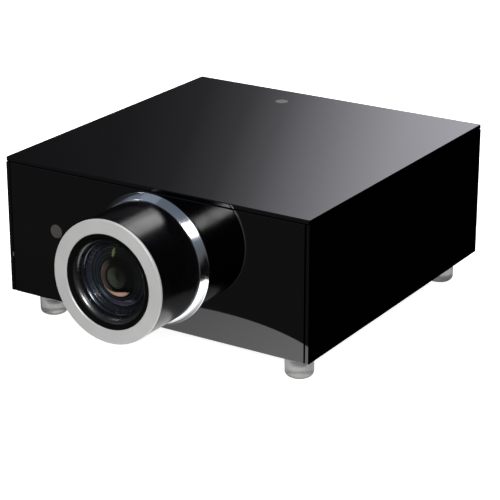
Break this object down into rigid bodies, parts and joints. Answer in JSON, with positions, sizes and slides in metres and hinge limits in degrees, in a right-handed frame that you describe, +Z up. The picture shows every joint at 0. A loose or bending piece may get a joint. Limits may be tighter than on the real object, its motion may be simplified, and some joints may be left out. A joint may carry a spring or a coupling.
{
  "type": "home projector",
  "caption": "Low square projector in a glass case on four levelling feet, with a wide round lens barrel in front and sockets, fan grille and lamp drawer behind.",
  "frame": {"origin": "middle of the overall footprint, on the surface that the feet stand on", "axes": "+Z up, the lens looks along -Y"},
  "size_m": [0.464, 0.56, 0.226],
  "materials": {
    "black_glass": "polished, opaque black",
    "frame_metal": "satin black",
    "tray_metal": "fine-textured black",
    "rear_metal": "fine-textured black",
    "smoked_window": "smoked, polished",
    "silver_ring": "satin, bead blasted",
    "black_barrel": "piano black",
    "polished_collar": "mirror polished",
    "hood_black": "semi-gloss black",
    "lens_glass": "anti-reflection coated",
    "cell_black": "black anodised",
    "bright_ring": "turned, bright",
    "lens_barrel_metal": "black anodised",
    "gear_plastic": "moulded",
    "carriage_metal": "machined",
    "steel": "ground",
    "motor_metal": "pressed",
    "engine_metal": "cast, blackened",
    "optics": "coated",
    "wheel_filters": "dichroic segments",
    "board": "green lacquer",
    "heat_sink": "extruded",
    "lamp_metal": "satin black",
    "lamp_glass": "coated reflector",
    "bay_metal": "galvanised",
    "fan_plastic": "moulded",
    "sockets": "plated",
    "inlet_plastic": "moulded",
    "rocker_plastic": "moulded",
    "key_plastic": "moulded",
    "clear_foot": "clear grey, polished",
    "screw_steel": "blackened"
  },
  "bodies": {
    "case": {"base_tray": "tray_metal", "top_glass": "black_glass", "front_glass": "black_glass", "left_glass": "black_glass", "right_glass": "black_glass", "rear_panel": "rear_metal", "glass_frame": "frame_metal", "infrared_windows": "smoked_window", "lens_mount": "carriage_metal", "shift_rods": "steel", "engine_housing": "engine_metal", "relay_optics": "optics", "colour_wheel_motor": "motor_metal", "dmd_board": "board", "dmd_heatsink": "heat_sink", "lamp_bay": "bay_metal", "fan_frames": "fan_plastic", "main_board": "board", "power_supply": "board", "connectors": "sockets", "power_inlet": "inlet_plastic", "power_switch": "inlet_plastic", "panel_screws": "screw_steel"},
    "lens": {"shift_carriage": "carriage_metal", "lens_tube": "lens_barrel_metal", "barrel_shroud": "black_barrel", "front_ring": "silver_ring", "collar_ring": "polished_collar", "lens_hood": "hood_black", "drive_motors": "motor_metal", "rear_element": "lens_glass"},
    "lift_screw": {"shift_screw": "steel"},
    "focus_ring": {"focus_gear": "gear_plastic"},
    "focus_drive": {"focus_pinion": "gear_plastic"},
    "focus_group": {"focus_cell": "cell_black", "front_element": "lens_glass", "retaining_ring": "bright_ring"},
    "zoom_ring": {"zoom_gear": "gear_plastic"},
    "zoom_drive": {"zoom_pinion": "gear_plastic"},
    "zoom_group": {"zoom_cell": "cell_black", "zoom_element": "lens_glass"},
    "exhaust_fan": {"exhaust_fan_rotor": "fan_plastic"},
    "intake_fan": {"intake_fan_rotor": "fan_plastic"},
    "filter_wheel": {"colour_wheel": "wheel_filters"},
    "lamp_module": {"lamp_carrier": "lamp_metal", "lamp_bulb": "lamp_glass"},
    "rocker": {"power_rocker": "rocker_plastic"},
    "stud_front_left": {"foot_stud_front_left": "steel"},
    "foot_front_left": {"foot_pad_front_left": "clear_foot"},
    "stud_front_right": {"foot_stud_front_right": "steel"},
    "foot_front_right": {"foot_pad_front_right": "clear_foot"},
    "stud_rear_left": {"foot_stud_rear_left": "steel"},
    "foot_rear_left": {"foot_pad_rear_left": "clear_foot"},
    "stud_rear_right": {"foot_stud_rear_right": "steel"},
    "foot_rear_right": {"foot_pad_rear_right": "clear_foot"},
    "key_up": {"key_up": "key_plastic"},
    "key_down": {"key_down": "key_plastic"},
    "key_left": {"key_left": "key_plastic"},
    "key_right": {"key_right": "key_plastic"},
    "key_select": {"key_select": "key_plastic"}
  },
  "joints": [
    {"name": "lens_shift", "type": "slide", "parent": "case", "child": "lens", "axis": [0, 0, 1], "range_m": [-0.006, 0.006]},
    {"name": "lift_screw_turn", "type": "hinge", "parent": "case", "child": "lift_screw", "pos_m": [0.066, -0.142, 0.1298], "axis": [0, 0, 1], "range_deg": [-1140, 1140]},
    {"name": "focus_turn", "type": "hinge", "parent": "lens", "child": "focus_ring", "pos_m": [0, -0.1586, 0.1298], "axis": [0, 1, 0], "range_deg": [-60, 60]},
    {"name": "focus_drive_turn", "type": "hinge", "parent": "lens", "child": "focus_drive", "pos_m": [-0.04561, -0.1586, 0.17541], "axis": [0, 1, 0], "range_deg": [-420, 420]},
    {"name": "focus_slide", "type": "slide", "parent": "lens", "child": "focus_group", "axis": [0, -1, 0], "range_m": [-0.0025, 0.0025]},
    {"name": "zoom_turn", "type": "hinge", "parent": "lens", "child": "zoom_ring", "pos_m": [0, -0.1503, 0.1298], "axis": [0, 1, 0], "range_deg": [-60, 60]},
    {"name": "zoom_drive_turn", "type": "hinge", "parent": "lens", "child": "zoom_drive", "pos_m": [0.04561, -0.1503, 0.17541], "axis": [0, 1, 0], "range_deg": [-420, 420]},
    {"name": "zoom_slide", "type": "slide", "parent": "lens", "child": "zoom_group", "axis": [0, -1, 0], "range_m": [-0.007, 0.007]},
    {"name": "exhaust_fan_spin", "type": "hinge", "parent": "case", "child": "exhaust_fan", "pos_m": [0.044, 0.258, 0.1298], "axis": [0, 1, 0], "continuous": true},
    {"name": "intake_fan_spin", "type": "hinge", "parent": "case", "child": "intake_fan", "pos_m": [-0.165, -0.082, 0.053], "axis": [0, 0, 1], "continuous": true},
    {"name": "filter_wheel_spin", "type": "hinge", "parent": "case", "child": "filter_wheel", "pos_m": [0.158, 0.118, 0.1548], "axis": [0, 1, 0], "continuous": true},
    {"name": "lamp_slide", "type": "slide", "parent": "case", "child": "lamp_module", "axis": [0, 1, 0], "range_m": [0, 0.13]},
    {"name": "rocker_tilt", "type": "hinge", "parent": "case", "child": "rocker", "pos_m": [-0.15, 0.269, 0.172], "axis": [1, 0, 0], "range_deg": [-16, 0]},
    {"name": "key_up_press", "type": "slide", "parent": "case", "child": "key_up", "axis": [0, -1, 0], "range_m": [0, 0.0012], "stiffness_N_per_m": 400},
    {"name": "key_down_press", "type": "slide", "parent": "case", "child": "key_down", "axis": [0, -1, 0], "range_m": [0, 0.0012], "stiffness_N_per_m": 400},
    {"name": "key_left_press", "type": "slide", "parent": "case", "child": "key_left", "axis": [0, -1, 0], "range_m": [0, 0.0012], "stiffness_N_per_m": 400},
    {"name": "key_right_press", "type": "slide", "parent": "case", "child": "key_right", "axis": [0, -1, 0], "range_m": [0, 0.0012], "stiffness_N_per_m": 400},
    {"name": "key_select_press", "type": "slide", "parent": "case", "child": "key_select", "axis": [0, -1, 0], "range_m": [0, 0.0012], "stiffness_N_per_m": 400},
    {"name": "stud_front_left_slide", "type": "slide", "parent": "case", "child": "stud_front_left", "axis": [0, 0, -1], "range_m": [0, 0.01]},
    {"name": "foot_front_left_turn", "type": "hinge", "parent": "stud_front_left", "child": "foot_front_left", "pos_m": [-0.1938, -0.1417, 0.02], "axis": [0, 0, 1], "range_deg": [0, 2880]},
    {"name": "stud_front_right_slide", "type": "slide", "parent": "case", "child": "stud_front_right", "axis": [0, 0, -1], "range_m": [0, 0.01]},
    {"name": "foot_front_right_turn", "type": "hinge", "parent": "stud_front_right", "child": "foot_front_right", "pos_m": [0.1938, -0.1417, 0.02], "axis": [0, 0, 1], "range_deg": [0, 2880]},
    {"name": "stud_rear_left_slide", "type": "slide", "parent": "case", "child": "stud_rear_left", "axis": [0, 0, -1], "range_m": [0, 0.01]},
    {"name": "foot_rear_left_turn", "type": "hinge", "parent": "stud_rear_left", "child": "foot_rear_left", "pos_m": [-0.1938, 0.245, 0.02], "axis": [0, 0, 1], "range_deg": [0, 2880]},
    {"name": "stud_rear_right_slide", "type": "slide", "parent": "case", "child": "stud_rear_right", "axis": [0, 0, -1], "range_m": [0, 0.01]},
    {"name": "foot_rear_right_turn", "type": "hinge", "parent": "stud_rear_right", "child": "foot_rear_right", "pos_m": [0.1938, 0.245, 0.02], "axis": [0, 0, 1], "range_deg": [0, 2880]}
  ],
  "couplings": [
    {"joint": "lift_screw_turn", "follows": "lens_shift", "rad_per_m": 3141.6},
    {"joint": "focus_drive_turn", "follows": "focus_turn", "ratio": -6.1667},
    {"joint": "focus_slide", "follows": "focus_turn", "m_per_rad": 0.0023871},
    {"joint": "zoom_drive_turn", "follows": "zoom_turn", "ratio": -6.1667},
    {"joint": "zoom_slide", "follows": "zoom_turn", "m_per_rad": 0.0066838},
    {"joint": "stud_front_left_slide", "follows": "foot_front_left_turn", "m_per_rad": 0.00019892},
    {"joint": "stud_front_right_slide", "follows": "foot_front_right_turn", "m_per_rad": 0.00019892},
    {"joint": "stud_rear_left_slide", "follows": "foot_rear_left_turn", "m_per_rad": 0.00019892},
    {"joint": "stud_rear_right_slide", "follows": "foot_rear_right_turn", "m_per_rad": 0.00019892}
  ]
}
